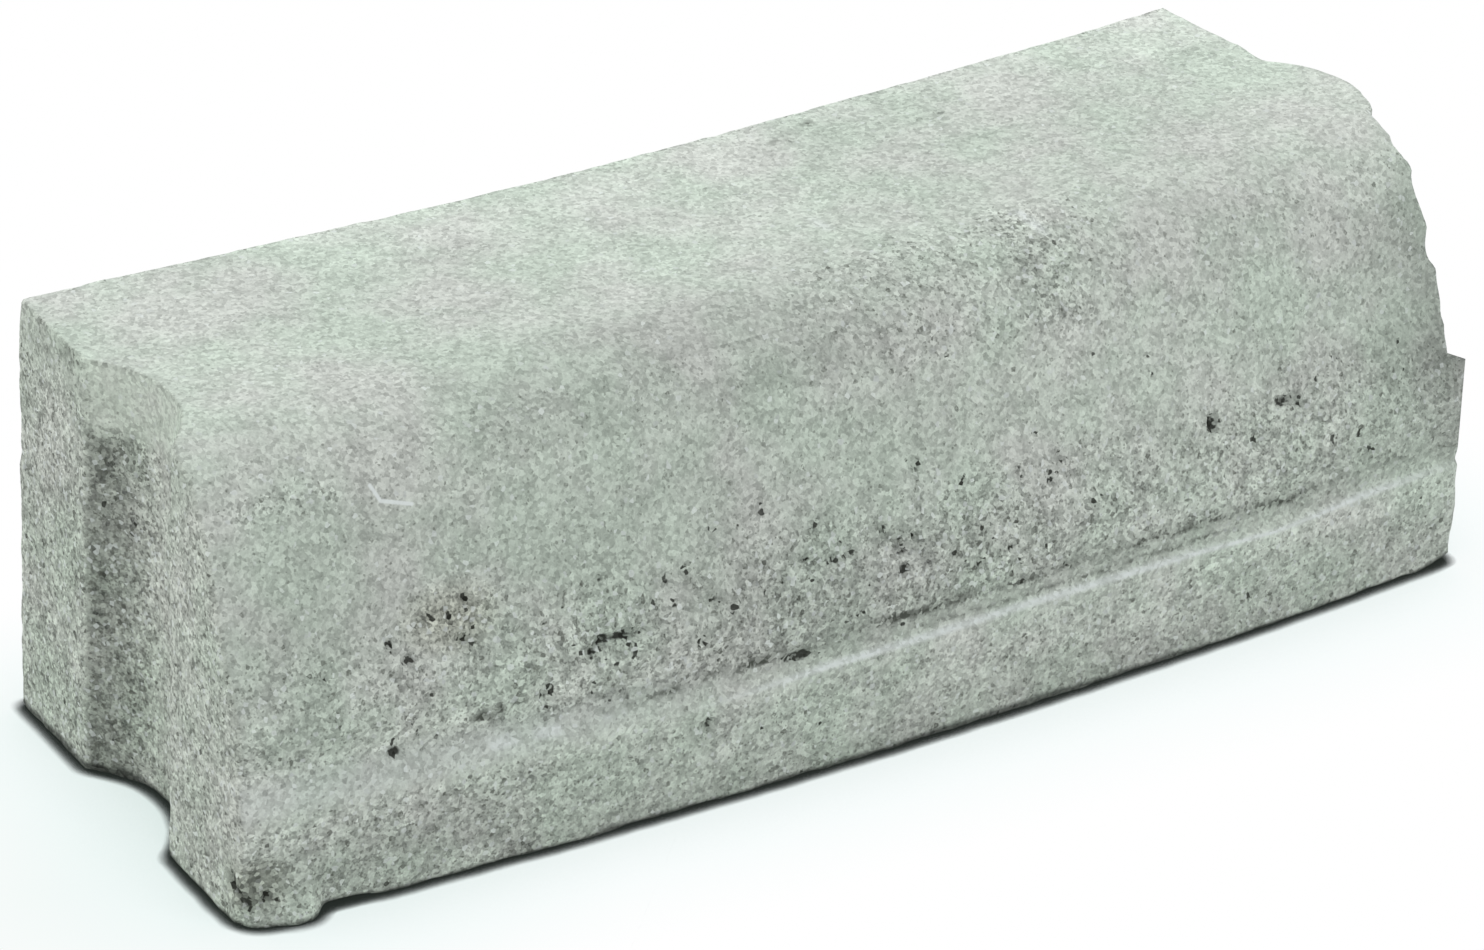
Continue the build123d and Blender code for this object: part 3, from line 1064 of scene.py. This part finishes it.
def add_foot_shadow(n, c, colour):
    """The painted shadow line at the base."""
    level = n.add("ShaderNodeSeparateXYZ", {"Vector": c.place}).outputs["Z"]
    wobble = n.scaled(n.noise(c.place, FOOT_WOBBLE_SCALE, 2.0), 0.3, 0.7, -0.0012, 0.0016)
    over_line = n.math("SUBTRACT", n.math("ADD", level, wobble), n.measure("foot_shadow_height"))
    return n.mix(n.scaled(over_line, 0.0, FOOT_SHADOW_BLUR, 0.74, 0.0), colour, FOOT_SHADOW_COLOUR)


def fine_relief(n, c):
    """Relief too fine for the mesh."""
    grit = n.noise(c.place, GRIT_SCALE, 1.0, 0.7)
    height = n.math("MULTIPLY", grit, c.by_coarseness(GRIT_HEIGHT))
    bump = n.add("ShaderNodeBump", {"Height": height, "Strength": 0.6, "Distance": 0.0008})
    return bump.outputs["Normal"]


def concrete():
    n = Nodes("cast_concrete")
    c = concrete_sockets(n)
    colour = cement_colour(n, c)
    for layer in (add_pores, add_marks_highlight_and_shade, add_pits, add_foot_shadow):
        colour = layer(n, c, colour)
    shader = n.add(
        "ShaderNodeBsdfPrincipled",
        {"Base Color": colour, "Roughness": 0.92, "Specular IOR Level": 0.2, "Normal": fine_relief(n, c)},
    )
    n.tree.links.new(shader.outputs[0], n.output.inputs["Surface"])
    return n.material


# Shadows on the floor: their reach, and their colour by the share of open sky
SOFT_SHADOW_REACH = 0.11
SOFT_SHADOW = [
    (0.0, (0.55, 0.62, 0.60)),
    (0.5, (0.81, 0.89, 0.87)),
    (0.8, (0.964, 1.0, 1.0)),
    (1.0, (1.0, 1.0, 1.0)),
]
GAP_SHADOW_REACH = 0.008
GAP_SHADOW = [(0.67, (0.03, 0.033, 0.03)), (0.84, (0.27, 0.27, 0.27)), (1.0, (1.0, 1.0, 1.0))]
GROOVE_SHADOW_PLACE = (-0.46, -0.03, 0.0)
GROOVE_SHADOW_REACH = 0.30
GROOVE_SHADOW_TINT = (0.86, 0.93, 0.91, 1)
FLOOR_COLOUR = (0.80, 0.81, 0.80, 1)


def white_floor_material():
    """White to the eye, darker close under the stone, and grey to the light that it throws back."""
    n = Nodes("white_floor")
    path = n.add("ShaderNodeLightPath").outputs
    seen = n.math("MAXIMUM", path["Is Camera Ray"], path["Is Glossy Ray"])
    seen = n.math("MAXIMUM", seen, path["Is Transmission Ray"])
    around = n.add("ShaderNodeAmbientOcclusion", {"Distance": SOFT_SHADOW_REACH}, samples=4).outputs["AO"]
    under = n.add("ShaderNodeAmbientOcclusion", {"Distance": GAP_SHADOW_REACH}, samples=6).outputs["AO"]
    colour = n.mix(1.0, n.ramp(around, SOFT_SHADOW), n.ramp(under, GAP_SHADOW), "MULTIPLY")
    place = n.add("ShaderNodeTexCoord").outputs["Object"]
    from_groove = n.vector("DISTANCE", place, GROOVE_SHADOW_PLACE)
    soft_shadow = n.scaled(from_groove, GROOVE_SHADOW_REACH, 0.0, 0.0, 0.6)
    colour = n.mix(soft_shadow, colour, n.mix(1.0, colour, GROOVE_SHADOW_TINT, "MULTIPLY"))
    glow = n.add("ShaderNodeEmission", {"Color": colour, "Strength": 1.0})
    matt = n.add("ShaderNodeBsdfDiffuse", {"Color": FLOOR_COLOUR})
    both = n.add("ShaderNodeMixShader", {0: seen, 1: matt.outputs[0], 2: glow.outputs[0]})
    n.tree.links.new(both.outputs[0], n.output.inputs["Surface"])
    return n.material


# Studio

FLOOR_SIZE = 30.0
SKY_STRENGTH = 0.80
KEY_PLACE = (-0.4, 2.4, 3.16)
KEY_SIZE = 2.0
KEY_POWER = 42.0

# Camera: its place, its turns from looking along +Y, and its lens
CAMERA_PLACE = (-2.15003, -3.04535, 2.04717)
CAMERA_AZIMUTH = math.radians(35.082)
CAMERA_ELEVATION = math.radians(27.524)
CAMERA_ROLL = math.radians(2.21)
CAMERA_LENS_MM = 190.98
SENSOR_WIDTH_MM = 36.0


def build_floor():
    half = FLOOR_SIZE / 2
    mesh = bpy.data.meshes.new("floor")
    corners = [(-half, -half, 0), (half, -half, 0), (half, half, 0), (-half, half, 0)]
    mesh.from_pydata(corners, [], [(0, 1, 2, 3)])
    floor = bpy.data.objects.new("floor", mesh)
    bpy.context.scene.collection.objects.link(floor)
    floor.data.materials.append(white_floor_material())


def build_light():
    studio = bpy.data.worlds.new("studio")
    studio.use_nodes = True
    sky = studio.node_tree.nodes["Background"]
    sky.inputs["Color"].default_value = (1, 1, 1, 1)
    sky.inputs["Strength"].default_value = SKY_STRENGTH
    bpy.context.scene.world = studio

    key = bpy.data.lights.new("key", "AREA")
    key.size = KEY_SIZE
    key.energy = KEY_POWER
    lamp = bpy.data.objects.new("key", key)
    place = Matrix.Translation(KEY_PLACE)
    lamp.matrix_world = place @ (-place.translation).to_track_quat("-Z", "Y").to_matrix().to_4x4()
    bpy.context.scene.collection.objects.link(lamp)


def build_camera():
    lens = bpy.data.cameras.new("camera")
    lens.lens = CAMERA_LENS_MM
    lens.sensor_width = SENSOR_WIDTH_MM
    lens.clip_end = 100.0
    camera = bpy.data.objects.new("camera", lens)
    heading = Matrix.Rotation(-CAMERA_AZIMUTH, 4, "Z")
    tilt = Matrix.Rotation(math.pi / 2 - CAMERA_ELEVATION, 4, "X")
    roll = Matrix.Rotation(CAMERA_ROLL, 4, "Z")
    camera.matrix_world = Matrix.Translation(CAMERA_PLACE) @ heading @ tilt @ roll
    bpy.context.scene.collection.objects.link(camera)
    bpy.context.scene.camera = camera


build_stone()
build_floor()
build_light()
build_camera()
bpy.context.scene.view_settings.view_transform = "Standard"
